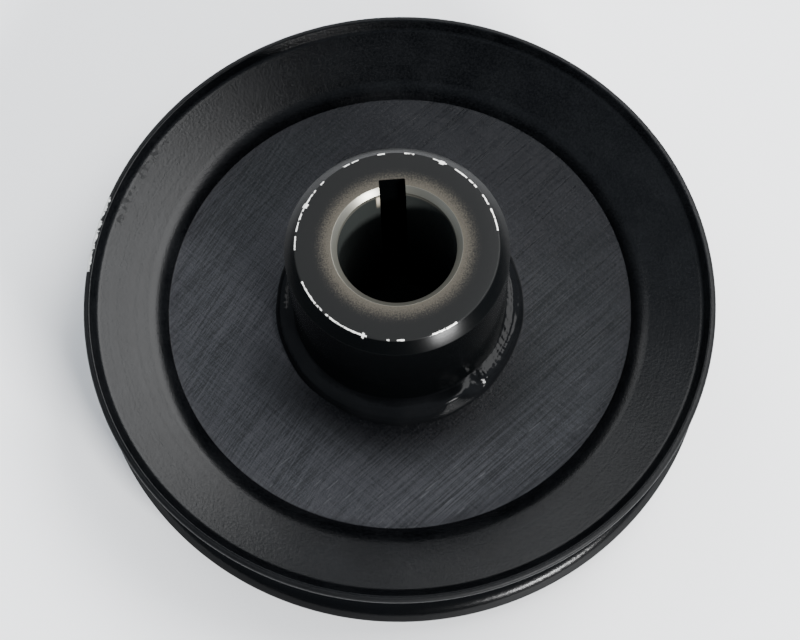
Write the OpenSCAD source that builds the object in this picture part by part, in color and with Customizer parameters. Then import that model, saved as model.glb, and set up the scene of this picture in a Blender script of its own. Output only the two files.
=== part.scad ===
// Single-groove V-belt pulley, welded steel: two pressed sheave halves back to back
// on a keyed hub. Millimetres. The shaft axis is Z. The origin is the centre of the
// hub's lower end face, and the keyway points along +Y.

/* [Hub] */
// Bore of the hub, 1-1/8 in
bore_d = 28.575; // [25.4:0.005:31.75]
// Outside diameter of the hub, 2-1/8 in
hub_d = 53.975; // [50:0.005:58]
// Length of the hub, 2-3/8 in
hub_len = 60.325; // [52:0.005:70]
// Chamfer on the outer edge of both end faces
hub_chamfer = 2.7; // [0.5:0.1:4]
// Chamfer on both mouths of the bore
bore_chamfer = 1.4; // [0.4:0.1:2]

/* [Keyway] */
// Width of the keyway, 1/4 in
key_w = 6.35; // [4:0.05:8]
// Depth from the far side of the bore to the floor of the keyway
key_height = 31.6; // [30:0.1:33.5]

/* [Sheave] */
// Outside diameter of the rim, 6-1/4 in
rim_d = 158.75; // [155:0.05:168]
// Thickness of the sheet that both halves are pressed from
sheet_t = 2; // [1.5:0.1:2.5]
// Height of the belt groove's centre plane above the hub's lower face
groove_z = 20.7; // [18:0.1:30]
// Included angle of the belt groove
groove_angle = 34; // [30:1:38]
// Radius of the flat, ground web
web_r = 59; // [55:0.5:60]
// Radial width of the step between the web and the cone, before its bend is rounded
step_w = 2; // [1.8:0.1:3]
// Height of the step, before its bend is rounded
step_h = 2.5; // [2:0.1:3]
// Radial width of the turned-up lip, from the cone's end to the rim
lip_w = 3.2; // [3:0.1:4.5]
// Overall width over both rims
rim_width = 22.4; // [21.6:0.1:25]

/* [Welds] */
// Leg of the hub fillet weld along the web
weld_leg_web = 4.7; // [3:0.1:6]
// Leg of the hub fillet weld along the hub
weld_leg_hub = 3.4; // [2:0.1:6]
// Number of spot welds that join the two webs
spot_count = 8; // [4:1:12]
// Diameter of one spot weld's nugget
spot_d = 6; // [4:0.5:8]
// Radius of the circle that the spot welds lie on
spot_circle_r = 49; // [42:0.5:50]

/* [Hidden] */

PAINT = [0.055, 0.06, 0.065];
STEEL = [0.42, 0.41, 0.39];

FACETS = 180;            // sides of a preview circle
CUT = 1;                 // how far a cutter passes a face
ARC_STEPS = 5;           // straight runs in one rounded corner
BEAD_STEPS = 8;          // straight runs across a weld bead

bore_r = bore_d / 2;
hub_r = hub_d / 2;
rim_r = rim_d / 2;
slope = groove_angle / 2;            // the cone's rise, in degrees above the web's plane
shoulder_r = web_r + step_w;
cone_end_r = rim_r - lip_w;
rim_h = rim_width / 2;               // from the centre plane to a rim's edge
spot_t = 0.8 * sheet_t;              // a nugget's thickness, shared by the two sheets

// Heights of the outer surface above the centre plane
shoulder_h = sheet_t + step_h;
cone_end_h = shoulder_h + (cone_end_r - shoulder_r) * tan(slope);

lip_top_w = 1.5;                     // flat top of the lip, where its end is trimmed
crease_round = 0.25;                 // corner between the web and the step
crease_room = 0.3;                   // straight run kept at the step's foot
step_angle = atan2(step_h, step_w);
shoulder_round =                     // corner between the step and the cone
    (norm([step_w, step_h]) - crease_room) / tan((step_angle - slope) / 2);
lip_root_round = 2.4;                // corner between the cone and the lip
lip_edge_round = 0.4;                // inner and lower edges of the lip's trimmed end
lip_crown_round = 1.1;               // its upper outer edge, where the sheet is thick enough

function unit(v) = v / norm(v);

// Points of a round corner of radius r at b, tangent to the lines a-b and b-c
function corner(a, b, c, r) =
    let (u = unit(a - b), v = unit(c - b))
    let (half = acos(u * v) / 2)
    let (centre = b + unit(u + v) * r / sin(half))
    let (p = b + u * r / tan(half) - centre, q = b + v * r / tan(half) - centre)
    let (start = atan2(p[1], p[0]), turn = atan2(q[1], q[0]) - start)
    let (sweep = turn > 180 ? turn - 360 : turn < -180 ? turn + 360 : turn)
    [for (i = [0:ARC_STEPS]) let (t = start + sweep * i / ARC_STEPS)
        centre + r * [cos(t), sin(t)]];

// Where the line through p at angle s meets the line through q at angle t
function meet(p, s, q, t) =
    let (d = q - p)
    let (k = (d[0] * sin(t) - d[1] * cos(t)) / sin(t - s))
    p + k * [cos(s), sin(s)];

// A point moved one sheet thickness to the under side of a line at angle s
function under(p, s) = p + sheet_t * [sin(s), -cos(s)];

// Outline of one sheave half: radius and height above the centre plane
function half_outline() =
    let (web_in = [hub_r, sheet_t], web_out = [web_r, sheet_t])
    let (shoulder = [shoulder_r, shoulder_h], cone_end = [cone_end_r, cone_end_h])
    let (lip_in = [rim_r - lip_top_w, rim_h], lip_out = [rim_r, rim_h])
    let (lip_angle = atan2(rim_h - cone_end_h, lip_w - lip_top_w))
    let (lip_low = meet(under(lip_in, lip_angle), lip_angle, [rim_r, 0], 90))
    let (lip_bend = meet(under(lip_in, lip_angle), lip_angle, under(shoulder, slope), slope))
    let (step_bend = meet(under(shoulder, slope), slope, under(web_out, step_angle), step_angle))
    let (foot = meet(under(web_out, step_angle), step_angle, [0, 0], 0))
    let (crown_round = min(lip_crown_round, 0.7 * (rim_h - lip_low[1])))
    concat([[hub_r, 0], web_in],
        corner(web_in, web_out, shoulder, crease_round),
        corner(web_out, shoulder, cone_end, shoulder_round),
        corner(shoulder, cone_end, lip_in, lip_root_round),
        corner(cone_end, lip_in, lip_out, lip_edge_round),
        corner(lip_in, lip_out, lip_low, crown_round),
        corner(lip_out, lip_low, lip_bend, lip_edge_round),
        corner(lip_low, lip_bend, step_bend, lip_root_round + sheet_t),
        corner(lip_bend, step_bend, foot, shoulder_round - sheet_t),
        [foot]);

// A solid of revolution about the shaft axis
module lathe() {
    rotate_extrude($fn = FACETS) children();
}

// Every spot weld's place on its circle
module at_spots() {
    for (i = [0:spot_count - 1])
        rotate([0, 0, (i + 0.5) * 360 / spot_count])
            translate([spot_circle_r, 0, 0])
                children();
}

module nugget() {
    cylinder(d = spot_d, h = spot_t, center = true, $fn = 48);
}

// One pressed half, its back on the plane z = 0 and its cone opening upwards
module sheave_half() {
    difference() {
        lathe() polygon(half_outline());
        at_spots() nugget();
    }
}

// Fillet bead round the hub, standing on the plane z = 0, a quarter of an ellipse in section
module hub_weld() {
    lathe() polygon(concat([[hub_r, 0]],
        [for (i = [0:BEAD_STEPS]) let (t = 90 * i / BEAD_STEPS)
            [hub_r + weld_leg_web * cos(t), weld_leg_hub * sin(t)]]));
}

module hub() {
    color(PAINT)
    difference() {
        lathe() polygon([[0, 0], [hub_r - hub_chamfer, 0], [hub_r, hub_chamfer],
            [hub_r, hub_len - hub_chamfer], [hub_r - hub_chamfer, hub_len], [0, hub_len]]);
        translate([0, 0, -CUT]) cylinder(r = bore_r, h = hub_len + 2 * CUT, $fn = FACETS);
        bore_mouth();
        translate([0, 0, hub_len]) mirror([0, 0, 1]) bore_mouth();
        translate([-key_w / 2, 0, -CUT]) cube([key_w, key_height - bore_r, hub_len + 2 * CUT]);
    }
}

// Cutter for the chamfer at the bore's lower mouth
module bore_mouth() {
    lathe() polygon([[0, -CUT], [bore_r + bore_chamfer + CUT, -CUT],
        [bore_r, bore_chamfer], [0, bore_chamfer]]);
}

module upper_sheave_half() {
    color(PAINT) translate([0, 0, groove_z]) sheave_half();
}

module lower_sheave_half() {
    color(PAINT) translate([0, 0, groove_z]) mirror([0, 0, 1]) sheave_half();
}

module upper_hub_weld() {
    color(PAINT) translate([0, 0, groove_z + sheet_t]) hub_weld();
}

module lower_hub_weld() {
    color(PAINT) translate([0, 0, groove_z - sheet_t]) mirror([0, 0, 1]) hub_weld();
}

module spot_welds() {
    color(STEEL) translate([0, 0, groove_z]) at_spots() nugget();
}

hub();
upper_sheave_half();
lower_sheave_half();
upper_hub_weld();
lower_hub_weld();
spot_welds();
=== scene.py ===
"""Finished look of a single-groove V-belt pulley: two pressed sheave halves, back to back on a keyed hub.

Lengths in the classes are millimetres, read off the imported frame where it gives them. Meshes are in metres.
Azimuths are degrees, anticlockwise from +X seen from above.
"""

import logging
import math
from collections.abc import Callable, Iterable, Sequence
from dataclasses import dataclass, field
from enum import Enum

import bmesh
import bpy
from mathutils import Matrix, Vector, noise


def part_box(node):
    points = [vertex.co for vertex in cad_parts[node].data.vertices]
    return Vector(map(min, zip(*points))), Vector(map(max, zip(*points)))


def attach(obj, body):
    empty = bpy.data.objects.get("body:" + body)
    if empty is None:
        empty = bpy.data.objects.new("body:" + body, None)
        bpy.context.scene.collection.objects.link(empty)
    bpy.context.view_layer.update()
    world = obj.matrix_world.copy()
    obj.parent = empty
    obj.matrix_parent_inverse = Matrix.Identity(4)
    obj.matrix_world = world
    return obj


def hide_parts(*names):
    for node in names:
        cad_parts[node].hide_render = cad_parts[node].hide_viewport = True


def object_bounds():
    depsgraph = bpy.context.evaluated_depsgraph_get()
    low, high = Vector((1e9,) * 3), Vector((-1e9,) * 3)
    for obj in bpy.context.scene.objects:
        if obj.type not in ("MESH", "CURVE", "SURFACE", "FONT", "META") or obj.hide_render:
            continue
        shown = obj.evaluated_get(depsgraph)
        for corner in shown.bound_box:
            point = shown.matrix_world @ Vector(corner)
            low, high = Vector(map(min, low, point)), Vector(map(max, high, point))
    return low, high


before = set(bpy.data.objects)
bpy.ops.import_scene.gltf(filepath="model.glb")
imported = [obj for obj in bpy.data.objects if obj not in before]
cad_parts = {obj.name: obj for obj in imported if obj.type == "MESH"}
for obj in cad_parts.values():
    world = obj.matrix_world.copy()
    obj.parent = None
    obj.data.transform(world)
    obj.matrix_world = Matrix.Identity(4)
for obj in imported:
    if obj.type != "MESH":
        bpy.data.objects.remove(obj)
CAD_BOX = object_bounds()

log = logging.getLogger("pulley")

MM = 0.001
ROOT_BODY = "root"
WELD_REACH = 4.7

Outline = list[Vector]
Socket = bpy.types.NodeSocket


class Side(Enum):
    """Which face of the pulley a piece belongs to; the value is the sign of Z it faces."""

    UPPER = 1
    LOWER = -1


# ---------------------------------------------------------------- outlines and meshes


def point(radius: float, height: float) -> Vector:
    """A point of an outline.

    Args:
        radius: Distance from the shaft axis, in millimetres.
        height: Height, in millimetres.

    Returns:
        The point as a two-dimensional vector.
    """
    return Vector((radius, height))


def rounded(before: Vector, corner: Vector, after: Vector, radius: float, steps: int = 10) -> Outline:
    """Rounds one corner of an outline with an arc that is tangent to both of its sides.

    Args:
        before: A point on the side that leads to the corner.
        corner: The sharp corner.
        after: A point on the side that leaves it.
        radius: Radius of the arc, in millimetres.
        steps: Number of straight runs in the arc.

    Returns:
        The arc's points, in order.
    """
    back, ahead = (before - corner).normalized(), (after - corner).normalized()
    half = back.angle(ahead) / 2
    centre = corner + (back + ahead).normalized() * radius / math.sin(half)
    start = corner + back * radius / math.tan(half) - centre
    end = corner + ahead * radius / math.tan(half) - centre
    sweep = math.atan2(start.cross(end), start.dot(end))
    turns = (Matrix.Rotation(sweep * i / steps, 2) for i in range(steps + 1))
    return [centre + turn @ start for turn in turns]


def crossing(start: Vector, angle: float, other: Vector, other_angle: float) -> Vector:
    """Finds where two lines of an outline meet.

    Args:
        start: A point on the first line.
        angle: Its slope, in degrees.
        other: A point on the second line.
        other_angle: Its slope, in degrees.

    Returns:
        The point that both lines pass through.
    """
    a, b = math.radians(angle), math.radians(other_angle)
    gap = other - start
    along = (gap.x * math.sin(b) - gap.y * math.cos(b)) / math.sin(b - a)
    return start + along * Vector((math.cos(a), math.sin(a)))


def lathe(outline: Sequence[Vector], steps: int) -> bmesh.types.BMesh:
    """Spins a closed outline about the shaft axis.

    Args:
        outline: Radius and height of each point, in millimetres.
        steps: Number of segments round the axis.

    Returns:
        A closed mesh in metres, with its faces turned outwards.
    """
    mesh = bmesh.new()
    ring = [mesh.verts.new((p.x * MM, 0.0, p.y * MM)) for p in outline]
    edges = [mesh.edges.new((a, b)) for a, b in zip(ring, ring[1:] + ring[:1])]
    bmesh.ops.spin(
        mesh, geom=ring + edges, axis=(0, 0, 1), cent=(0, 0, 0),
        angle=math.tau, steps=steps, use_merge=True,
    )
    bmesh.ops.remove_doubles(mesh, verts=mesh.verts, dist=MM * 1e-4)
    bmesh.ops.recalc_face_normals(mesh, faces=mesh.faces)
    return mesh


def face_outwards(mesh: bmesh.types.BMesh) -> None:
    """Turns a closed mesh's faces outwards.

    Recalculating only makes them agree: on a thin ring it can leave them all inwards, which shows as a
    negative volume.

    Args:
        mesh: The closed mesh.
    """
    bmesh.ops.recalc_face_normals(mesh, faces=mesh.faces)
    if mesh.calc_volume(signed=True) < 0:
        bmesh.ops.reverse_faces(mesh, faces=mesh.faces)


def crease(mesh: bmesh.types.BMesh, angle: float = 32.0) -> None:
    """Shades a mesh smooth and keeps its real corners sharp.

    Args:
        mesh: The mesh to change.
        angle: Faces that meet at more than this many degrees keep a sharp edge between them.
    """
    limit = math.radians(angle)
    for face in mesh.faces:
        face.smooth = True
    for edge in mesh.edges:
        edge.smooth = len(edge.link_faces) == 2 and edge.calc_face_angle(0.0) < limit


def finished(mesh: bmesh.types.BMesh, name: str, material: bpy.types.Material) -> bpy.types.Object:
    """Turns a mesh into a piece that rides on the pulley.

    Args:
        mesh: The mesh, in place and in metres. It is freed.
        name: Name of the piece.
        material: Its finish.

    Returns:
        The piece.
    """
    data = bpy.data.meshes.new(name)
    mesh.to_mesh(data)
    mesh.free()
    data.materials.append(material)
    piece = bpy.data.objects.new(name, data)
    bpy.context.scene.collection.objects.link(piece)
    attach(piece, ROOT_BODY)
    log.info("%s: %d faces", name, len(data.polygons))
    return piece


def azimuth_of(place: Vector) -> float:
    """Azimuth of a place round the shaft axis, in degrees from 0 to 360."""
    return math.degrees(math.atan2(place.y, place.x)) % 360.0


def near_azimuth(azimuth: float, target: float) -> float:
    """Signed difference between two azimuths, in degrees from -180 to 180."""
    return (azimuth - target + 180.0) % 360.0 - 180.0


def dip(distance: float, width: float) -> float:
    """A smooth hump that is 1 at distance 0 and 0 from one width away."""
    share = min(abs(distance) / width, 1.0)
    return (1.0 - share * share) ** 2


# ---------------------------------------------------------------- shader graphs


class Graph:
    """A short way to write a node tree: each method adds a node and returns its output."""

    def __init__(self, tree: bpy.types.NodeTree) -> None:
        """Keeps the tree that the nodes go in."""
        self.tree = tree

    def node(self, kind: str, **values: object) -> bpy.types.Node:
        """Adds a node.

        Args:
            kind: Its type without the ShaderNode prefix.
            **values: Properties to set on it.

        Returns:
            The node.
        """
        made = self.tree.nodes.new("ShaderNode" + kind)
        for key, value in values.items():
            setattr(made, key, value)
        return made

    def feed(self, socket: Socket, value: object) -> None:
        """Links a socket to an output, or sets it to a plain value."""
        if isinstance(value, bpy.types.NodeSocket):
            self.tree.links.new(value, socket)
        else:
            socket.default_value = value

    def math(self, operation: str, a: object, b: object = 0.0) -> Socket:
        """Adds a Math node.

        Args:
            operation: The node's operation, such as "MULTIPLY".
            a: First value or output.
            b: Second value or output.

        Returns:
            The result.
        """
        made = self.node("Math", operation=operation)
        self.feed(made.inputs[0], a)
        self.feed(made.inputs[1], b)
        return made.outputs[0]

    def times(self, a: object, b: object) -> Socket:
        """The product of two values or outputs."""
        return self.math("MULTIPLY", a, b)

    def plus(self, a: object, b: object) -> Socket:
        """The sum of two values or outputs."""
        return self.math("ADD", a, b)

    def minus(self, a: object, b: object) -> Socket:
        """The first value or output less the second."""
        return self.math("SUBTRACT", a, b)

    def swing(self, value: object, amount: object) -> Socket:
        """A value from 0 to 1 as a swing about zero, times an amount."""
        return self.times(self.minus(value, 0.5), amount)

    def emboss(self, shader: bpy.types.Node, height: object) -> None:
        """Gives a shader a relief.

        Args:
            shader: The shader.
            height: The relief, in millimetres.
        """
        bump = self.node("Bump")
        bump.inputs["Distance"].default_value = MM
        self.feed(bump.inputs["Height"], height)
        self.feed(shader.inputs["Normal"], bump.outputs[0])

    def spread(
        self, value: object, low: float, high: float, to_low: float = 0.0, to_high: float = 1.0
    ) -> Socket:
        """Maps a value smoothly from one range to another and holds it there.

        Args:
            value: The value or output.
            low: Start of its range.
            high: End of its range.
            to_low: Result at the start.
            to_high: Result at the end.

        Returns:
            The result.
        """
        made = self.node("MapRange", interpolation_type="SMOOTHSTEP")
        for index, item in enumerate((value, low, high, to_low, to_high)):
            self.feed(made.inputs[index], item)
        return made.outputs[0]

    def noise(self, vector: Socket, scale: float, detail: float = 2.0, rough: float = 0.5) -> Socket:
        """Adds a Noise texture.

        Args:
            vector: Where it is read.
            scale: Its size, in features per unit.
            detail: Number of finer layers.
            rough: Strength of the finer layers.

        Returns:
            Its value, from 0 to 1.
        """
        made = self.node("TexNoise", noise_dimensions="3D")
        self.feed(made.inputs["Vector"], vector)
        self.feed(made.inputs["Scale"], scale)
        self.feed(made.inputs["Detail"], detail)
        self.feed(made.inputs["Roughness"], rough)
        return made.outputs["Fac"]

    def mapped(
        self, vector: Socket, scale: Sequence[float], turn: float = 0.0, shift: Sequence[float] = (0, 0, 0)
    ) -> Socket:
        """Scales, turns about Z and shifts coordinates.

        Args:
            vector: The coordinates.
            scale: Scale along each axis after the turn.
            turn: Turn about Z, in degrees.
            shift: Shift added at the end.

        Returns:
            The new coordinates.
        """
        rotated = self.node("VectorRotate", rotation_type="Z_AXIS")
        self.feed(rotated.inputs["Vector"], vector)
        rotated.inputs["Angle"].default_value = math.radians(turn)
        made = self.node("Mapping")
        self.feed(made.inputs["Vector"], rotated.outputs[0])
        made.inputs["Scale"].default_value = scale
        made.inputs["Location"].default_value = shift
        return made.outputs[0]

    def blend(self, factor: object, a: object, b: object) -> Socket:
        """Mixes two colours.

        Args:
            factor: 0 for the first and 1 for the second.
            a: First colour or output.
            b: Second colour or output.

        Returns:
            The mixed colour.
        """
        made = self.node("Mix", data_type="RGBA")
        self.feed(made.inputs["Factor"], factor)
        self.feed(made.inputs["A"], a)
        self.feed(made.inputs["B"], b)
        return made.outputs["Result"]

    def lerp(self, factor: object, a: object, b: object) -> Socket:
        """Mixes two numbers.

        Args:
            factor: 0 for the first and 1 for the second.
            a: First number or output.
            b: Second number or output.

        Returns:
            The mixed number.
        """
        made = self.node("Mix", data_type="FLOAT")
        self.feed(made.inputs["Factor"], factor)
        self.feed(made.inputs["A"], a)
        self.feed(made.inputs["B"], b)
        return made.outputs["Result"]

    def place(self) -> Socket:
        """The piece's own coordinates, in millimetres."""
        made = self.node("Mapping")
        self.feed(made.inputs["Vector"], self.node("TexCoord").outputs["Object"])
        made.inputs["Scale"].default_value = (1 / MM,) * 3
        return made.outputs[0]

    def use(self, group: bpy.types.NodeTree, **values: object) -> dict[str, Socket]:
        """Places an effect group.

        Args:
            group: The group.
            **values: Its inputs by name, with _ for a space.

        Returns:
            Its outputs by name.
        """
        made = self.node("Group")
        made.node_tree = group
        for key, value in values.items():
            self.feed(made.inputs[key.replace("_", " ")], value)
        return {socket.name: socket for socket in made.outputs}


def effect(name: str, inputs: dict[str, str], outputs: Iterable[str],
           write: Callable[[Graph, dict[str, Socket]], dict[str, Socket]]) -> bpy.types.NodeTree:
    """Builds an effect group once and hands back the same one after that.

    Args:
        name: Name of the group.
        inputs: Each input's name and kind, "Vector" or "Float".
        outputs: Names of its outputs, all of them numbers.
        write: Fills the group and returns the value of each output.

    Returns:
        The group.
    """
    found = bpy.data.node_groups.get(name)
    if found:
        return found
    tree = bpy.data.node_groups.new(name, "ShaderNodeTree")
    for key, kind in inputs.items():
        tree.interface.new_socket(key, in_out="INPUT", socket_type="NodeSocket" + kind)
    for key in outputs:
        tree.interface.new_socket(key, in_out="OUTPUT", socket_type="NodeSocketFloat")
    graph = Graph(tree)
    start = tree.nodes.new("NodeGroupInput")
    end = tree.nodes.new("NodeGroupOutput")
    for key, value in write(graph, {s.name: s for s in start.outputs if s.name}).items():
        tree.links.new(value, end.inputs[key])
    return tree


def cylinder_place(graph: Graph, place: Socket) -> tuple[Socket, Socket, Socket]:
    """Splits coordinates into radius, azimuth and height.

    Args:
        graph: The tree to write in.
        place: Coordinates, in millimetres.

    Returns:
        Radius and height in millimetres, and between them the azimuth in turns from 0 to 1.
    """
    split = graph.node("SeparateXYZ")
    graph.feed(split.inputs[0], place)
    x, y, z = split.outputs
    radius = graph.math("SQRT", graph.plus(graph.times(x, x), graph.times(y, y)))
    turn = graph.math("FRACT", graph.math("DIVIDE", graph.math("ARCTAN2", y, x), math.tau))
    return radius, turn, z


def enamel_effect() -> bpy.types.NodeTree:
    """Sprayed enamel: a slow swell, fine orange peel and a finer grain."""

    def write(graph: Graph, given: dict[str, Socket]) -> dict[str, Socket]:
        """Lays the nodes inside the group.

        Args:
            graph: The group's graph.
            given: Its inputs by name.

        Returns:
            Its outputs by name.
        """
        place = given["Place"]
        swell = graph.noise(place, 0.11, 2.0)
        peel = graph.noise(place, 1.5, 2.0, 0.55)
        grain = graph.noise(place, 5.0, 1.0)
        height = graph.plus(graph.times(peel, 0.7), graph.times(grain, 0.3))
        return {"Height": height, "Tone": swell, "Grain": grain}

    return effect("enamel", {"Place": "Vector"}, ("Height", "Tone", "Grain"), write)


def grinding_effect() -> bpy.types.NodeTree:
    """Straight grinding marks along X: dense fine lines, broader ones, and short bright scratches."""

    def write(graph: Graph, given: dict[str, Socket]) -> dict[str, Socket]:
        """Lays the nodes inside the group.

        Args:
            graph: The group's graph.
            given: Its inputs by name.

        Returns:
            Its outputs by name.
        """
        place = given["Place"]
        fine = graph.noise(graph.mapped(place, (0.05, 3.4, 1.0)), 1.0, 2.0, 0.6)
        broad = graph.noise(graph.mapped(place, (0.03, 1.6, 1.0), 2.0, (7, 3, 0)), 1.0, 2.0, 0.6)
        deep = graph.noise(graph.mapped(place, (0.035, 2.2, 1.0), -2.5, (1, 9, 0)), 1.0, 1.0)
        short = graph.noise(graph.mapped(place, (0.16, 2.1, 1.0), 1.5, (5, 5, 0)), 1.0, 1.0)
        patch = graph.noise(graph.mapped(place, (0.03, 0.05, 1.0), 0.0, (2, 8, 0)), 1.0, 2.0)
        lines = graph.plus(graph.times(fine, 0.62), graph.times(broad, 0.38))
        return {
            "Lines": graph.spread(lines, 0.36, 0.64),
            "Deep": graph.spread(deep, 0.60, 0.70),
            "Scratches": graph.spread(short, 0.69, 0.77),
            "Patch": graph.spread(patch, 0.35, 0.65),
        }

    return effect("grinding", {"Place": "Vector"}, ("Lines", "Deep", "Scratches", "Patch"), write)


def turned_effect() -> bpy.types.NodeTree:
    """Tool marks of a lathe: fine rings that follow a surface's own distance, nearly unbroken round it."""

    def write(graph: Graph, given: dict[str, Socket]) -> dict[str, Socket]:
        """Lays the nodes inside the group.

        Args:
            graph: The group's graph.
            given: Its inputs by name.

        Returns:
            Its outputs by name.
        """
        radius, turn, height = cylinder_place(graph, given["Place"])
        along = graph.plus(radius, graph.times(height, 0.83))
        where = graph.node("CombineXYZ")
        graph.feed(where.inputs[0], graph.times(along, given["Pitch"]))
        graph.feed(where.inputs[1], graph.times(graph.math("PINGPONG", turn, 0.5), 3.0))
        return {"Lines": graph.noise(where.outputs[0], 1.0, 2.0, 0.6)}

    return effect("turned", {"Place": "Vector", "Pitch": "Float"}, ("Lines",), write)


def bare_effect() -> bpy.types.NodeTree:
    """Paint gone through to bare metal at a ring: 1 on bare metal. The border frays with the noise."""

    def write(graph: Graph, given: dict[str, Socket]) -> dict[str, Socket]:
        """Lays the nodes inside the group.

        Args:
            graph: The group's graph.
            given: Its inputs by name.

        Returns:
            Its outputs by name.
        """
        radius, _, height = cylinder_place(graph, given["Place"])
        across = graph.minus(radius, given["Radius"])
        up = graph.minus(height, given["Level"])
        away = graph.math("SQRT", graph.plus(graph.times(across, across),
                                             graph.times(up, up)))
        fray = graph.times(graph.minus(graph.noise(given["Place"], 1.3, 3.0, 0.65), 0.5),
                           given["Fray"])
        edge = graph.plus(away, fray)
        return {"Mask": graph.spread(edge, given["Width"], graph.times(given["Width"], 0.55))}

    names = {"Place": "Vector", "Radius": "Float", "Level": "Float", "Width": "Float", "Fray": "Float"}
    return effect("bare_ring", names, ("Mask",), write)


# ---------------------------------------------------------------- finishes


def new_material(name: str) -> tuple[bpy.types.Material, Graph, bpy.types.Node]:
    """Starts a material.

    Args:
        name: Its name.

    Returns:
        The material, its graph and its Principled shader.
    """
    made = bpy.data.materials.new(name)
    made.use_nodes = True
    made.node_tree.nodes.clear()
    graph = Graph(made.node_tree)
    shader = graph.node("BsdfPrincipled")
    out = graph.node("OutputMaterial")
    made.node_tree.links.new(shader.outputs[0], out.inputs[0])
    return made, graph, shader


@dataclass(frozen=True)
class Arc:
    """A stretch of azimuth, in degrees, where something lies."""

    start: float
    end: float


def arc_mask(graph: Graph, turn: Socket, arcs: Sequence[Arc]) -> Socket:
    """Marks stretches of azimuth.

    Args:
        graph: The tree to write in.
        turn: Azimuth in turns, from 0 to 1.
        arcs: The stretches, none of which crosses azimuth 0.

    Returns:
        1 inside a stretch and 0 outside.
    """
    mask: object = 0.0
    for first in range(0, len(arcs), 15):
        ramp = graph.node("ValToRGB")
        graph.feed(ramp.inputs[0], turn)
        band = ramp.color_ramp
        band.interpolation = "CONSTANT"
        band.elements[0].color = band.elements[1].color = (0, 0, 0, 1)
        for arc in arcs[first:first + 15]:
            band.elements.new(arc.start / 360).color = (1, 1, 1, 1)
            band.elements.new(arc.end / 360).color = (0, 0, 0, 1)
        mask = graph.math("MAXIMUM", mask, ramp.outputs["Color"])
    return mask


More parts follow.
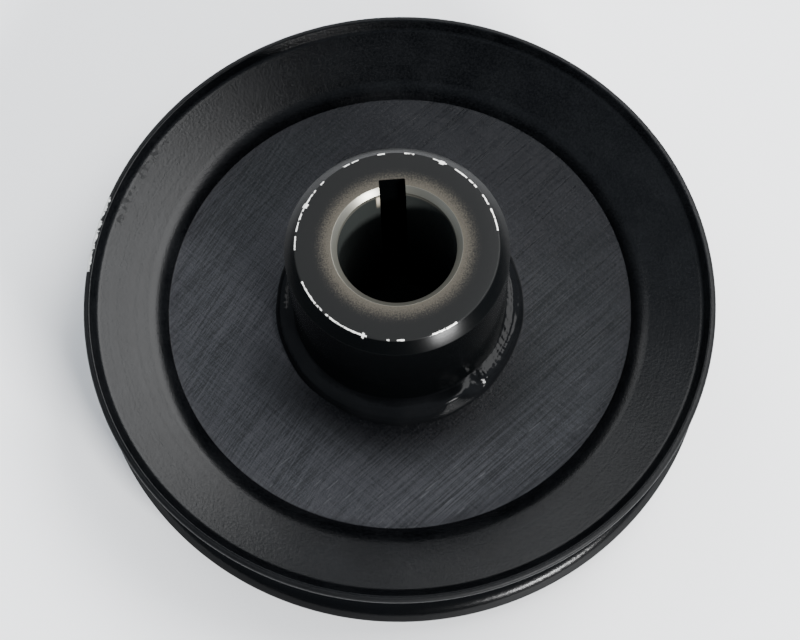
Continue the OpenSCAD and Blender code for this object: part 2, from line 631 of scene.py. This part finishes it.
@dataclass(frozen=True)
class SheaveEnamel:
    """Satin black enamel over a pressed sheave half: ground web, smooth cone, chipped rim."""

    web_r: float
    weld_r: float
    rim_r: float
    rim_z: float
    # Strength of the mottled tone: real dirt on the upper half, lowered on the lower half as painted shade.
    dust_and_shade: float
    colour: tuple[float, float, float, float] = (0.0001, 0.0002, 0.0004, 1)
    dusty: tuple[float, float, float, float] = (0.0042, 0.0045, 0.0050, 1)
    rubbed_and_lit: tuple[float, float, float, float] = (0.0576, 0.0580, 0.0640, 1)
    scratch: tuple[float, float, float, float] = (0.052, 0.052, 0.054, 1)
    # Scuffed-grey amount at the lower-left and upper-right ends of the diagonal: painted light over the web's
    # real grinding wear.
    wear_and_light: tuple[float, float] = (0.26, 0.07)
    steel: tuple[float, float, float, float] = (0.52, 0.52, 0.51, 1)
    gloss: float = 0.125
    web_rough: float = 0.21
    edge_rough: float = 0.50
    cone_rough: float = 0.23
    grind_angle: float = -38.0
    chips: tuple[Arc, ...] = (Arc(155.5, 171),)
    smudges: tuple[Arc, ...] = (Arc(138, 159),)

    def material(self, name: str) -> bpy.types.Material:
        """Builds the material.

        Args:
            name: Its name.

        Returns:
            The material.
        """
        made, graph, shader = new_material(name)
        shader.inputs["Specular IOR Level"].default_value = self.gloss
        place = graph.place()
        side = graph.node("SeparateXYZ")
        graph.feed(side.inputs[0], place)
        side = side.outputs
        radius, turn, _ = cylinder_place(graph, place)
        paint = graph.use(enamel_effect(), Place=place)
        along = graph.use(grinding_effect(), Place=graph.mapped(place, (1, 1, 1), self.grind_angle))
        across = graph.use(grinding_effect(), Place=graph.mapped(place, (1, 1, 1), self.grind_angle + 82.0))
        diagonal = graph.plus(graph.times(side[0], 0.6), graph.times(side[1], 0.8))
        on_web = graph.spread(radius, self.web_r + 0.1, self.web_r - 0.15)
        steep = graph.use(grinding_effect(), Place=graph.mapped(place, (1, 1, 1), self.grind_angle - 19.0))
        clarity = graph.times(graph.spread(along["Patch"], 0.0, 1.0, 0.65, 1.0),
                              graph.spread(diagonal, 0.0, 40.0, 1.0, 0.7))
        leftward = graph.spread(side[0], 5.0, -30.0, 0.0, 0.6)
        both = graph.lerp(leftward, along["Lines"], steep["Lines"])
        lines = graph.swing(both, clarity)
        lines = graph.plus(lines, graph.swing(across["Lines"], 0.28))
        lines = graph.plus(lines, graph.swing(paint["Grain"], 1.0))
        lines = graph.minus(lines, graph.times(along["Deep"], graph.spread(diagonal, -30.0, 30.0, 0.15, 0.5)))
        marks = graph.times(lines, on_web)
        rings = graph.use(turned_effect(), Place=place, Pitch=1.1)
        relief = graph.plus(graph.times(marks, 0.018), graph.times(paint["Height"], 0.05))
        relief = graph.plus(relief, graph.times(rings["Lines"], 0.012))
        graph.emboss(shader, relief)

        ring = graph.use(bare_effect(), Place=place, Radius=self.rim_r, Level=self.rim_z, Width=1.0, Fray=2.4)
        chipped = graph.times(ring["Mask"], arc_mask(graph, turn, self.chips))
        # Painted light: more scuffed grey towards the lower left and less towards the upper right, for how
        # the light falls across the web.
        wear_and_light = graph.spread(diagonal, -self.web_r, self.web_r, *self.wear_and_light)
        # Painted shade: much less scuffed grey on the near side close to the weld, darkening the web there.
        weld_painted_shade = graph.times(graph.spread(radius, self.weld_r + 16.0, self.weld_r),
                                graph.spread(side[1], 0.0, -28.0))
        wear_and_light = graph.times(wear_and_light, graph.minus(1.0, graph.times(weld_painted_shade, 0.95)))
        # Painted light: more scuffed grey left of the hub, lightening the web where the hub's shadow falls.
        hub_shadow_fill = graph.times(graph.spread(radius, self.weld_r + 20.0, self.weld_r),
                          graph.spread(side[0], -5.0, -25.0))
        wear_and_light = graph.times(wear_and_light, graph.plus(1.0, graph.times(hub_shadow_fill, 0.35)))
        level = graph.times(graph.spread(lines, -0.7, 0.6, 0.45, 1.6), wear_and_light)
        # A mottled dirt tone; its strength is lowered on the lower half as painted shade.
        dust_and_shade = graph.plus(graph.spread(graph.noise(place, 1.7, 3.0, 0.75), 0.34, 0.74, 0.1, 0.7),
                          graph.spread(paint["Tone"], 0.35, 0.7, -0.1, 0.15))
        plain = graph.blend(graph.times(dust_and_shade, self.dust_and_shade), self.colour, self.dusty)
        painted = graph.blend(graph.times(on_web, level), plain, self.rubbed_and_lit)
        low_side = graph.times(graph.spread(side[1], -10.0, -45.0),
                               graph.spread(radius, self.weld_r + 9.0, self.weld_r + 17.0))
        scars = graph.times(graph.times(along["Scratches"], low_side), on_web)
        painted = graph.blend(graph.times(scars, 0.55), painted, self.scratch)
        graph.feed(shader.inputs["Base Color"], graph.blend(chipped, painted, self.steel))
        graph.feed(shader.inputs["Metallic"], graph.times(chipped, 0.3))
        rough = graph.lerp(on_web, self.cone_rough, self.web_rough)
        rough = graph.lerp(graph.spread(radius, self.rim_r - 1.3, self.rim_r - 0.8), rough, self.edge_rough)
        rough = graph.plus(rough, graph.swing(paint["Grain"], 0.20))
        rough = graph.plus(rough, graph.swing(rings["Lines"], 0.10))
        smudge = graph.spread(graph.noise(place, 0.8, 2.0), 0.52, 0.6)
        smudge = graph.times(smudge, arc_mask(graph, turn, self.smudges))
        edge = graph.times(graph.spread(radius, self.rim_r - 6.0, self.rim_r - 4.5),
                           graph.spread(radius, self.rim_r - 2.6, self.rim_r - 3.4))
        rough = graph.plus(rough, graph.times(graph.times(smudge, edge), 0.2))
        graph.feed(shader.inputs["Roughness"], rough)
        return made


@dataclass(frozen=True)
class HubEnamel:
    """Satin black enamel on the hub, abraded to bare steel at the bore and chipped at the face's edge, with
    end faces painted lighter grey as part wear and part painted light, and a painted highlight beside the
    keyway.
    """

    bore_r: float
    face_r: float
    top_z: float
    bottom_z: float
    mouth: float
    colour: tuple[float, float, float, float] = (0.0008, 0.0010, 0.0011, 1)
    # Grey of the end faces: part wear, part painted light for the light the flat faces catch.
    rubbed_and_lit: tuple[float, float, float, float] = (0.0100, 0.0102, 0.0100, 1)
    steel: tuple[float, float, float, float] = (0.85, 0.83, 0.78, 1)
    mouth_steel: tuple[float, float, float, float] = (0.17, 0.165, 0.14, 1)
    well: tuple[float, float, float, float] = (0.017, 0.019, 0.018, 1)
    # Pale colour of the painted highlight beside the keyway.
    keyway_highlight: tuple[float, float, float, float] = (0.50, 0.44, 0.34, 1)
    primer: tuple[float, float, float, float] = (0.066, 0.059, 0.047, 1)
    gloss: float = 0.065
    key_side: float = 3.175
    chips: tuple[Arc, ...] = (
        Arc(3, 17), Arc(21, 27), Arc(33, 50), Arc(56, 64), Arc(75, 81), Arc(92, 96), Arc(108, 112.5),
        Arc(113.5, 117.5), Arc(132, 134.5), Arc(139, 167), Arc(170, 178), Arc(197, 218), Arc(221, 248),
        Arc(259, 261.5), Arc(265, 269), Arc(284, 300),
    )
    flakes: tuple[Arc, ...] = (Arc(56.5, 60), Arc(149, 150.5), Arc(245, 247.5))

    def material(self, name: str) -> bpy.types.Material:
        """Builds the material.

        Args:
            name: Its name.

        Returns:
            The material.
        """
        made, graph, shader = new_material(name)
        shader.inputs["Specular IOR Level"].default_value = self.gloss
        place = graph.place()
        radius, turn, height = cylinder_place(graph, place)
        paint = graph.use(enamel_effect(), Place=place)
        turned = graph.use(turned_effect(), Place=place, Pitch=3.0)
        mottle = graph.noise(place, 2.6, 3.0, 0.7)

        inside = graph.spread(radius, self.bore_r + self.mouth + 0.15, self.bore_r + self.mouth - 0.1)
        deep = graph.spread(height, self.top_z - self.mouth - 0.3, self.top_z - self.mouth - 1.6)
        low_mouth = graph.spread(height, self.bottom_z + self.mouth + 1.6, self.bottom_z + self.mouth + 0.3)
        well = graph.times(deep, graph.minus(1.0, low_mouth))
        mouth = graph.times(inside, graph.minus(1.0, well))
        side = graph.node("SeparateXYZ")
        graph.feed(side.inputs[0], place)
        # Painted highlight: a pale strip down the bore wall at the keyway's left edge, standing in for the
        # glint there.
        off_edge = graph.math("ABSOLUTE", graph.plus(side.outputs[0], self.key_side + 0.35))
        edge = graph.times(graph.spread(off_edge, 0.7, 0.3), graph.spread(side.outputs[1], 12.0, 13.0))
        edge = graph.times(edge, graph.spread(height, self.top_z - 9.0, self.top_z - 3.0))
        halo = graph.spread(graph.plus(radius, graph.swing(mottle, 7.0)),
                            self.bore_r + self.mouth + 4.2, self.bore_r + self.mouth - 0.2)
        ring = graph.math("MAXIMUM",
                          graph.use(bare_effect(), Place=place, Radius=self.face_r, Level=self.top_z,
                                    Width=0.26, Fray=0.5)["Mask"],
                          graph.use(bare_effect(), Place=place, Radius=self.face_r, Level=self.bottom_z,
                                    Width=0.26, Fray=0.5)["Mask"])
        chipped = graph.times(ring, arc_mask(graph, turn, self.chips))
        chipped = graph.times(chipped, graph.spread(graph.noise(place, 0.9, 2.0), 0.34, 0.42))
        flake = graph.use(bare_effect(), Place=place, Radius=self.face_r, Level=self.top_z,
                          Width=0.85, Fray=1.0)["Mask"]
        flake = graph.times(flake, arc_mask(graph, turn, self.flakes))
        chipped = graph.math("MAXIMUM", chipped, flake)
        # Painted light: the end faces are grey while the barrel and chamfers stay black, one paint split into
        # lit and shaded copies.
        face = graph.math("MAXIMUM", graph.spread(height, self.top_z - 0.3, self.top_z - 0.1),
                          graph.spread(height, self.bottom_z + 0.3, self.bottom_z + 0.1))
        in_well = graph.times(inside, well)
        painted = graph.blend(face, self.colour, self.rubbed_and_lit)
        painted = graph.blend(graph.times(graph.times(halo, face), 0.8), painted, self.primer)
        painted = graph.blend(in_well, painted, self.well)
        painted = graph.blend(graph.times(edge, inside), painted, self.keyway_highlight)
        painted = graph.blend(mouth, painted, self.mouth_steel)
        graph.feed(shader.inputs["Base Color"], graph.blend(chipped, painted, self.steel))
        graph.feed(shader.inputs["Metallic"], graph.math("MAXIMUM", graph.times(mouth, 0.85),
                                                         graph.times(chipped, 0.2)))
        bare = graph.math("MAXIMUM", mouth, chipped)
        rough = graph.plus(graph.lerp(bare, 0.24, 0.34),
                           graph.swing(paint["Grain"], 0.12))
        graph.feed(shader.inputs["Roughness"], rough)
        relief = graph.plus(graph.times(turned["Lines"], 0.010),
                            graph.times(paint["Height"], 0.004))
        graph.emboss(shader, relief)
        return made


@dataclass(frozen=True)
class WeldEnamel:
    """Glossy black enamel pooled on a weld bead."""

    colour: tuple[float, float, float, float] = (0.0010, 0.0012, 0.0014, 1)
    pale: tuple[float, float, float, float] = (0.0040, 0.0042, 0.0046, 1)
    gloss: float = 0.06
    rough: tuple[float, float] = (0.045, 0.165)

    def material(self, name: str) -> bpy.types.Material:
        """Builds the material.

        Args:
            name: Its name.

        Returns:
            The material.
        """
        made, graph, shader = new_material(name)
        shader.inputs["Specular IOR Level"].default_value = self.gloss
        place = graph.place()
        paint = graph.use(enamel_effect(), Place=place)
        graph.feed(shader.inputs["Base Color"], graph.blend(paint["Tone"], self.colour, self.pale))
        graph.feed(shader.inputs["Roughness"], graph.spread(paint["Grain"], 0.2, 0.8, *self.rough))
        streaks = graph.use(turned_effect(), Place=place, Pitch=1.5)["Lines"]
        relief = graph.plus(graph.times(graph.noise(place, 1.4), 0.03), graph.times(streaks, 0.06))
        graph.emboss(shader, relief)
        return made


@dataclass(frozen=True)
class WeldSteel:
    """Bare fused steel of a spot weld."""

    colour: tuple[float, float, float, float] = (0.34, 0.33, 0.32, 1)

    def material(self, name: str) -> bpy.types.Material:
        """Builds the material.

        Args:
            name: Its name.

        Returns:
            The material.
        """
        made, graph, shader = new_material(name)
        shader.inputs["Metallic"].default_value = 1.0
        mottle = graph.noise(graph.place(), 1.2, 3.0)
        graph.feed(shader.inputs["Base Color"], graph.blend(mottle, self.colour, (0.20, 0.17, 0.14, 1)))
        graph.feed(shader.inputs["Roughness"], graph.spread(mottle, 0.2, 0.8, 0.35, 0.6))
        return made


@dataclass(frozen=True)
class FloorPaint:
    """Plain pale studio floor, with a black disc of painted shade under the hub so that no light comes back
    up the bore.
    """

    colour: tuple[float, float, float, float] = (0.86, 0.86, 0.86, 1)
    shade: tuple[float, float, float, float] = (0.83, 0.83, 0.835, 1)
    # Black of the painted shade under the hub.
    bore_shade: tuple[float, float, float, float] = (0.006, 0.006, 0.006, 1)
    bore_shade_r: float = 25.5

    def material(self, name: str) -> bpy.types.Material:
        """Builds the material.

        Args:
            name: Its name.

        Returns:
            The material.
        """
        made, graph, shader = new_material(name)
        place = graph.place()
        tone = graph.blend(graph.noise(place, 0.004, 2.0), self.colour, self.shade)
        radius, _, _ = cylinder_place(graph, place)
        # Painted shade: the floor turns black inside the hub's footprint, under the bore.
        bore_shade = graph.spread(radius, self.bore_shade_r, self.bore_shade_r - 1.5)
        graph.feed(shader.inputs["Base Color"], graph.blend(bore_shade, tone, self.bore_shade))
        shader.inputs["Roughness"].default_value = 0.8
        return made


# ---------------------------------------------------------------- the pulley's sub-assemblies


@dataclass
class SheaveHalf:
    """One pressed half of the sheave: flat web, step, cone and turned-up lip."""

    side: Side
    node: str
    hub_r: float = 26.9875
    sheet: float = 2.0
    slope: float = 17.0
    web_r: float = 59.0
    step_w: float = 2.0
    step_h: float = 2.5
    lip_w: float = 3.2
    lip_top: float = 1.5
    half_width: float = 11.2
    crease_room: float = 0.3
    lip_root: float = 2.4
    lip_edge: float = 0.4
    lip_crown: float = 1.1
    steps: int = 400
    rim_r: float = field(init=False)

    def __post_init__(self) -> None:
        """Reads the rim's radius from the frame."""
        low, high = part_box(self.node)
        self.rim_r = min(high.x, high.y, -low.x, -low.y) / MM

    def middle(self) -> float:
        """Height of the groove's centre plane, in millimetres, from the frame."""
        low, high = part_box(self.node)
        return (low.z if self.side is Side.UPPER else high.z) / MM

    def outline(self) -> Outline:
        """Outline of the half, with heights above the centre plane."""
        web_in, web_out = point(self.hub_r, self.sheet), point(self.web_r, self.sheet)
        shoulder = point(self.web_r + self.step_w, self.sheet + self.step_h)
        run = self.rim_r - self.lip_w - shoulder.x
        cone_end = shoulder + point(run, run * math.tan(math.radians(self.slope)))
        lip_in = point(self.rim_r - self.lip_top, self.half_width)
        lip_out = point(self.rim_r, self.half_width)
        step_slope = math.degrees(math.atan2(self.step_h, self.step_w))
        lip_slope = math.degrees(math.atan2(lip_in.y - cone_end.y, lip_in.x - cone_end.x))
        cone_under = self.under(shoulder, self.slope)
        lip_under = self.under(lip_in, lip_slope)
        step_under = self.under(web_out, step_slope)
        lip_low = crossing(lip_under, lip_slope, point(self.rim_r, 0), 90)
        lip_bend = crossing(lip_under, lip_slope, cone_under, self.slope)
        step_bend = crossing(cone_under, self.slope, step_under, step_slope)
        foot = crossing(step_under, step_slope, point(0, 0), 0)
        half_bend = math.radians(step_slope - self.slope) / 2
        shoulder_round = ((shoulder - web_out).length - self.crease_room) / math.tan(half_bend)
        crown_round = min(self.lip_crown, 0.7 * (self.half_width - lip_low.y))
        return [
            point(self.hub_r, 0), web_in,
            *rounded(web_in, web_out, shoulder, 0.06, 3),
            *rounded(web_out, shoulder, cone_end, shoulder_round, 16),
            *rounded(shoulder, cone_end, lip_in, self.lip_root),
            *rounded(cone_end, lip_in, lip_out, self.lip_edge, 6),
            *rounded(lip_in, lip_out, lip_low, crown_round),
            *rounded(lip_out, lip_low, lip_bend, self.lip_edge, 6),
            *rounded(lip_low, lip_bend, step_bend, self.lip_root + self.sheet, 6),
            *rounded(lip_bend, step_bend, foot, shoulder_round - self.sheet),
            foot,
        ]

    def under(self, place: Vector, angle: float) -> Vector:
        """The point one sheet thickness below a surface that slopes at an angle in degrees."""
        turn = math.radians(angle)
        return place + self.sheet * Vector((math.sin(turn), -math.cos(turn)))

    def build(self) -> bpy.types.Object:
        """Builds and dresses the half.

        Returns:
            The piece.
        """
        middle = self.middle()
        placed = [point(p.x, middle + self.side.value * p.y) for p in self.outline()]
        mesh = lathe(placed, self.steps)
        crease(mesh)
        rim_z = middle + self.side.value * self.half_width
        # The lower half gets a fifth of the mottled tone: painted shade that keeps its groove side darker.
        finish = SheaveEnamel(web_r=self.web_r, weld_r=self.hub_r + WELD_REACH, rim_r=self.rim_r, rim_z=rim_z,
                              dust_and_shade=1.0 if self.side is Side.UPPER else 0.2)
        name = f"{self.side.name.lower()}_sheave"
        piece = finished(mesh, name, finish.material(name + "_enamel"))
        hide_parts(self.node)
        return piece


@dataclass
class Hub:
    """The turned hub with its bore, chamfers and keyway."""

    node: str = "hub"
    bore_r: float = 14.2875
    chamfer: float = 2.7
    mouth: float = 1.4
    key_w: float = 6.35
    key_floor: float = 17.3125
    edge_round: float = 0.25
    key_round: float = 0.35
    steps: int = 256
    radius: float = field(init=False)
    top: float = field(init=False)

    def __post_init__(self) -> None:
        """Reads the hub's own size from the frame."""
        low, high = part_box(self.node)
        self.radius = min(high.x, high.y, -low.x, -low.y) / MM
        self.top = high.z / MM

    def outline(self) -> Outline:
        """Closed outline from the bore round the outside and back."""
        corners = [
            (point(self.bore_r, self.mouth), 0.1),
            (point(self.bore_r + self.mouth, 0), 0.15),
            (point(self.radius - self.chamfer, 0), self.edge_round),
            (point(self.radius, self.chamfer), self.edge_round),
            (point(self.radius, self.top - self.chamfer), self.edge_round),
            (point(self.radius - self.chamfer, self.top), self.edge_round),
            (point(self.bore_r + self.mouth, self.top), 0.15),
            (point(self.bore_r, self.top - self.mouth), 0.1),
        ]
        places = [place for place, _ in corners]
        line: Outline = []
        for index, (place, radius) in enumerate(corners):
            after = places[(index + 1) % len(places)]
            line += rounded(places[index - 1], place, after, radius, 4)
        return line

    def cut_keyway(self, piece: bpy.types.Object) -> None:
        """Cuts the keyway out of the finished ring.

        Args:
            piece: The hub's ring.
        """
        cutter = bmesh.new()
        size = Vector((self.key_w, self.key_floor, self.top + 4.0)) * MM
        bmesh.ops.create_cube(cutter, size=1.0)
        bmesh.ops.scale(cutter, vec=size, verts=cutter.verts)
        bmesh.ops.translate(cutter, vec=(0, size.y / 2, self.top * MM / 2), verts=cutter.verts)
        inner = [e for e in cutter.edges if all(v.co.y > size.y * 0.9 for v in e.verts)
                 and abs(e.verts[0].co.z - e.verts[1].co.z) > size.z / 2]
        bmesh.ops.bevel(cutter, geom=inner, offset=self.key_round * MM, segments=3, profile=0.5,
                        affect="EDGES", material=-1)
        data = bpy.data.meshes.new("keyway_cutter")
        cutter.to_mesh(data)
        cutter.free()
        tool = bpy.data.objects.new("keyway_cutter", data)
        bpy.context.scene.collection.objects.link(tool)
        cut = piece.modifiers.new("keyway", "BOOLEAN")
        cut.operation, cut.solver, cut.object = "DIFFERENCE", "EXACT", tool
        graph = bpy.context.evaluated_depsgraph_get()
        made = bpy.data.meshes.new_from_object(piece.evaluated_get(graph))
        piece.modifiers.clear()
        old, piece.data = piece.data, made
        made.name = "hub_body"
        bpy.data.meshes.remove(old)
        bpy.data.objects.remove(tool)
        bpy.data.meshes.remove(data)

    def build(self) -> bpy.types.Object:
        """Builds and dresses the hub.

        Returns:
            The piece.
        """
        finish = HubEnamel(bore_r=self.bore_r, face_r=self.radius - self.chamfer, top_z=self.top,
                           bottom_z=0.0, mouth=self.mouth)
        ring = lathe(self.outline(), self.steps)
        piece = finished(ring, "hub_body", finish.material("hub_enamel"))
        self.cut_keyway(piece)
        mesh = bmesh.new()
        mesh.from_mesh(piece.data)
        crease(mesh)
        mesh.to_mesh(piece.data)
        mesh.free()
        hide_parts(self.node)
        return piece


@dataclass
class HubWeld:
    """A hand-laid fillet bead round the hub: rippled, uneven, with a lumpy stop where it closes."""

    side: Side
    node: str
    hub_r: float = 26.9875
    leg_web: float = WELD_REACH
    leg_hub: float = 3.4
    across: int = 24
    steps: int = 720
    stop_azimuth: float = 302.0
    seed: float = 3.0

    def section(self) -> Outline:
        """The bead's mean section, from its toe on the web to its toe on the hub."""
        line = []
        for i in range(self.across + 1):
            turn = math.pi / 2 * i / self.across
            line.append(point(self.hub_r + self.leg_web * math.cos(turn), self.leg_hub * math.sin(turn)))
        return line

    def relief(self, azimuth: float, share: float) -> float:
        """Height of the ripples and lumps on the bead, in millimetres.

        Args:
            azimuth: Azimuth round the hub, in degrees.
            share: Place across the bead, from 0 at the web to 1 at the hub.

        Returns:
            The height to add along the surface.
        """
        turn = math.radians(azimuth)
        round_hub = Vector((math.cos(turn), math.sin(turn), 0.0))
        past = near_azimuth(azimuth, self.stop_azimuth)
        coarse = dip(past - 45.0, 60.0)
        length = turn * self.hub_r
        bow = 1.8 * (1.0 - (2.0 * share - 1.0) ** 2)
        drift = noise.noise(round_hub * 4 + Vector((0, 0, self.seed))) * 3.5
        ripple = math.sin((length + bow + drift) * math.tau / 2.1)
        swell = noise.noise(round_hub * 5 + Vector((0, 0, share + self.seed)))
        ridges = noise.noise(round_hub * 3.5 + Vector((0, 0, share * 9.0 + self.seed)))
        drop = dip(past + 8.0, 15.0 if past < -8.0 else 8.5) * dip(share - 0.52, 0.5)
        crater = dip(past - 4.5, 5.0)
        spatter = noise.noise(Vector((length * 0.9, share * 3.0, self.seed + 9))) * dip(past - 8.0, 9.0)
        fade = math.sin(math.pi * min(max(share, 0.0), 1.0))
        return fade * (
            (0.012 + 0.04 * coarse) * ripple + 0.12 * swell + (0.06 + 0.12 * coarse) * ridges
            + 1.0 * drop - 0.45 * crater + 0.3 * spatter
        )

    def build(self) -> bpy.types.Object:
        """Builds and dresses the bead.

        Returns:
            The piece.
        """
        low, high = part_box(self.node)
        base = (low.z if self.side is Side.UPPER else high.z) / MM
        section = self.section()
        closed = [*section, point(self.hub_r, 0)]
        mesh = lathe(closed, self.steps)
        toe = section[0]
        for vert in mesh.verts:
            radius, height = math.hypot(vert.co.x, vert.co.y) / MM, vert.co.z / MM
            on_back = radius < self.hub_r + 0.01 or height < 0.001
            share = min(max((toe.x - radius) / self.leg_web, 0.0), 1.0)
            azimuth = azimuth_of(vert.co)
            grow = 0.0 if on_back else self.relief(azimuth, share)
            out = Vector((self.leg_hub, self.leg_web)).normalized() * grow
            turn = math.radians(azimuth)
            wander = 0.3 * noise.noise(Vector((math.cos(turn) * 3, math.sin(turn) * 3, self.seed + 4)))
            wander += 0.5 * dip(near_azimuth(azimuth, self.stop_azimuth - 27.0), 60.0)
            stretch = 1.0 + wander * (0.35 if radius > self.hub_r + 0.01 else 0.0)
            new_r = self.hub_r + (radius - self.hub_r) * stretch + out.x
            new_h = max(height * (1.0 + wander * 0.6) + out.y, 0.0) if height > 0.001 else 0.0
            scale = new_r / radius
            vert.co = (vert.co.x * scale, vert.co.y * scale, (base + self.side.value * new_h) * MM)
        face_outwards(mesh)
        crease(mesh, 60.0)
        name = f"{self.side.name.lower()}_weld_bead"
        piece = finished(mesh, name, WeldEnamel().material(name + "_enamel"))
        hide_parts(self.node)
        return piece


@dataclass
class SpotWelds:
    """The nuggets between the two webs. Their CAD shape is right and stays."""

    node: str = "spot_welds"

    def build(self) -> bpy.types.Object:
        """Gives the nuggets their finish.

        Returns:
            The node's object.
        """
        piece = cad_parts[self.node]
        piece.data.materials.clear()
        piece.data.materials.append(WeldSteel().material("nugget_steel"))
        log.info("%s: kept from the frame", self.node)
        return piece


# ---------------------------------------------------------------- studio


@dataclass(frozen=True)
class SoftBox:
    """A rectangular light that faces the pulley."""

    name: str
    azimuth: float
    elevation: float
    distance: float
    width: float
    height: float
    power: float
    roll: float = 0.0

    def build(self, target: Vector) -> bpy.types.Object:
        """Hangs the light.

        Args:
            target: The point it faces, in metres.

        Returns:
            The light.
        """
        data = bpy.data.lights.new(self.name, "AREA")
        data.shape, data.size, data.size_y = "RECTANGLE", self.width, self.height
        data.energy = self.power
        light = bpy.data.objects.new(self.name, data)
        turn, lift = math.radians(self.azimuth), math.radians(self.elevation)
        away = Vector((math.cos(turn) * math.cos(lift), math.sin(turn) * math.cos(lift), math.sin(lift)))
        light.location = target + away * self.distance
        spin = Matrix.Rotation(math.radians(self.roll), 3, "Z")
        light.rotation_euler = ((-away).to_track_quat("-Z", "Y").to_matrix() @ spin).to_euler()
        bpy.context.scene.collection.objects.link(light)
        return light


@dataclass
class Studio:
    """Pale floor, soft lights and the camera."""

    lights: tuple[SoftBox, ...] = (
        SoftBox("key_box", 33, 52, 1.3, 1.21, 0.76, 38, roll=-33),
        SoftBox("fill_box", 114, 37, 1.5, 1.1, 0.6, 12),
        SoftBox("glint_box", -57, 24, 1.4, 0.40, 0.14, 52),
    )
    sky: float = 1.0
    room: tuple[float, float, float, float] = (0.85, 0.95, 1.08, 1)
    backdrop: float = 0.75
    distance: float = 475.8
    azimuth: float = -1.95
    elevation: float = 67.93
    lens: float = 83.76
    roll: float = 2.49
    aim: tuple[float, float] = (-0.2, -4.3)

    def floor(self) -> bpy.types.Object:
        """Lays the floor under the pulley.

        Returns:
            The floor.
        """
        mesh = bmesh.new()
        bmesh.ops.create_grid(mesh, x_segments=8, y_segments=8, size=3.0)
        data = bpy.data.meshes.new("floor")
        mesh.to_mesh(data)
        mesh.free()
        data.materials.append(FloorPaint().material("floor_paint"))
        floor = bpy.data.objects.new("floor", data)
        floor.location.z = CAD_BOX[0].z
        bpy.context.scene.collection.objects.link(floor)
        return floor

    def world(self) -> None:
        """Sets a dim room for the reflections, with a pale backdrop behind the floor."""
        world = bpy.data.worlds.new("studio")
        world.use_nodes = True
        graph = Graph(world.node_tree)
        world.node_tree.nodes.clear()
        room = graph.node("Background")
        way = graph.node("SeparateXYZ")
        graph.feed(way.inputs[0], graph.node("TexCoord").outputs["Generated"])
        overhead = graph.spread(way.outputs[2], 0.93, 0.985, 1.0, 0.15)
        horizon = graph.spread(way.outputs[2], 0.0, 0.45, 0.3, 1.0)
        nearer = graph.spread(way.outputs[1], -0.15, -0.8, 1.0, 0.4)
        level = graph.times(overhead, graph.times(horizon, nearer))
        graph.feed(room.inputs["Color"], graph.blend(level, (0, 0, 0, 1), self.room))
        room.inputs["Strength"].default_value = self.sky
        wall = graph.node("Background")
        wall.inputs["Strength"].default_value = self.backdrop
        seen = graph.node("LightPath").outputs["Is Camera Ray"]
        mix = graph.node("MixShader")
        out = graph.node("OutputWorld")
        graph.feed(mix.inputs[0], seen)
        world.node_tree.links.new(room.outputs[0], mix.inputs[1])
        world.node_tree.links.new(wall.outputs[0], mix.inputs[2])
        world.node_tree.links.new(mix.outputs[0], out.inputs[0])
        bpy.context.scene.world = world

    def camera(self, web_top: float) -> bpy.types.Object:
        """Sets up the camera.

        Args:
            web_top: Height of the upper web, in millimetres; the camera's distance is from its centre.

        Returns:
            The camera.
        """
        data = bpy.data.cameras.new("camera")
        data.lens, data.sensor_width = self.lens, 36.0
        data.clip_start, data.clip_end = 0.01, 20.0
        camera = bpy.data.objects.new("camera", data)
        turn, lift = math.radians(self.azimuth), math.radians(self.elevation)
        back = Vector((math.sin(turn) * math.cos(lift), -math.cos(turn) * math.cos(lift), math.sin(lift)))
        centre = Vector((0, 0, web_top * MM))
        camera.location = centre + back * self.distance * MM
        aim = centre + Vector((*self.aim, 0.0)) * MM
        look = (aim - camera.location).to_track_quat("-Z", "Y")
        spin = Matrix.Rotation(math.radians(-self.roll), 4, "Z")
        camera.rotation_euler = (look.to_matrix().to_4x4() @ spin).to_euler()
        bpy.context.scene.collection.objects.link(camera)
        bpy.context.scene.camera = camera
        return camera

    def build(self, web_top: float) -> None:
        """Builds the whole studio.

        Args:
            web_top: Height of the upper web, in millimetres.
        """
        self.floor()
        self.world()
        target = Vector((0, 0, web_top * MM))
        for light in self.lights:
            light.build(target)
        self.camera(web_top)


def main() -> None:
    """Builds every sub-assembly in order, then the studio."""
    logging.basicConfig(level=logging.INFO, format="%(name)s %(message)s")
    upper = SheaveHalf(Side.UPPER, "upper_sheave_half")
    lower = SheaveHalf(Side.LOWER, "lower_sheave_half")
    builders = (
        upper,
        lower,
        Hub(),
        HubWeld(Side.UPPER, "upper_hub_weld"),
        HubWeld(Side.LOWER, "lower_hub_weld", stop_azimuth=80.0, seed=17.0),
        SpotWelds(),
    )
    for builder in builders:
        piece = builder.build()
        log.info("built %s", piece.name)
    Studio().build(upper.middle() + upper.sheet)


if __name__ == "__main__":
    main()
